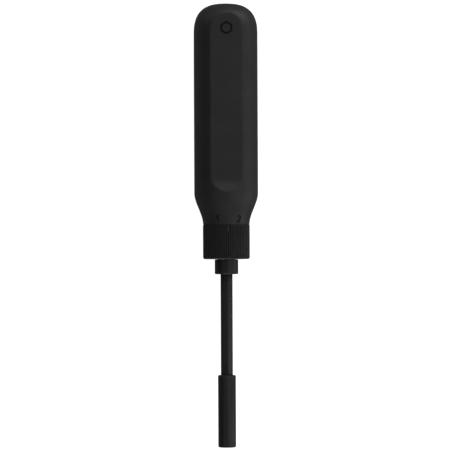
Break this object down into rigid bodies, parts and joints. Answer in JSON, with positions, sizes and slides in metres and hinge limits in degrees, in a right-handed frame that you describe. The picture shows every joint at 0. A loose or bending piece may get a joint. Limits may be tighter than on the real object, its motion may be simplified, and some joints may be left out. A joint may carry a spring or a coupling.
{
  "type": "torque-limiting hand driver",
  "caption": "Hand driver with a moulded grip, a ridged torque-setting dial ring, a toothed slip clutch and a removable hexagonal blade ending in a round bit sleeve.",
  "frame": {"origin": "middle of the driver's length and width, at the height of the lowest point of the grip as it lies on its back", "axes": "+Y along the driver from the tip to the butt, +Z out of the front flat of the grip"},
  "size_m": [0.036, 0.25, 0.036],
  "materials": {
    "grip_plastic": "matte black moulded",
    "ring_black": "satin black, ridged",
    "black_oxide": "polished black oxide on steel",
    "steel": "ground",
    "spring_steel": "oiled",
    "brass": "turned",
    "magnet": "nickel plated"
  },
  "bodies": {
    "handle": {"grip_shell": "grip_plastic", "liner_tube": "steel", "ring_retainer": "spring_steel", "fixed_cam": "steel", "cam_spacer": "steel", "end_disc": "steel"},
    "dial": {"dial_ring": "ring_black", "wave_washer": "spring_steel"},
    "adjuster": {"adjusting_sleeve": "brass", "thrust_race_front": "steel", "thrust_cage": "brass", "thrust_ball_1": "steel", "thrust_ball_2": "steel", "thrust_ball_3": "steel", "thrust_ball_4": "steel", "thrust_ball_5": "steel", "thrust_ball_6": "steel", "thrust_race_rear": "steel"},
    "drive": {"spindle": "black_oxide", "tail_circlip": "spring_steel", "tail_ball": "steel", "blade_magnet": "magnet", "blade_clip": "spring_steel", "main_spring": "spring_steel"},
    "jaw": {"sliding_cam": "steel"},
    "blade": {"hex_blade": "black_oxide", "tip_sleeve": "black_oxide", "tip_magnet": "magnet", "tip_clip": "spring_steel"}
  },
  "joints": [
    {"name": "ring_turn", "type": "hinge", "parent": "handle", "child": "dial", "pos_m": [0, -0.0095, 0.018], "axis": [0, 1, 0], "range_deg": [-24.4, 232.74]},
    {"name": "adjuster_travel", "type": "slide", "parent": "dial", "child": "adjuster", "axis": [0, 1, 0], "range_m": [-0.00028, 0.0026], "deforming": ["main_spring"]},
    {"name": "spindle_turn", "type": "hinge", "parent": "handle", "child": "drive", "pos_m": [0, -0.0095, 0.018], "axis": [0, 1, 0], "continuous": true},
    {"name": "clutch_slip", "type": "slide", "parent": "drive", "child": "jaw", "axis": [0, -1, 0], "range_m": [0, 0.0014], "stiffness_N_per_m": 600, "springref_m": -0.004},
    {"name": "blade_pull", "type": "slide", "parent": "drive", "child": "blade", "axis": [0, -1, 0], "range_m": [0, 0.024]}
  ],
  "couplings": [
    {"joint": "adjuster_travel", "follows": "ring_turn", "m_per_rad": 0.00063662}
  ]
}
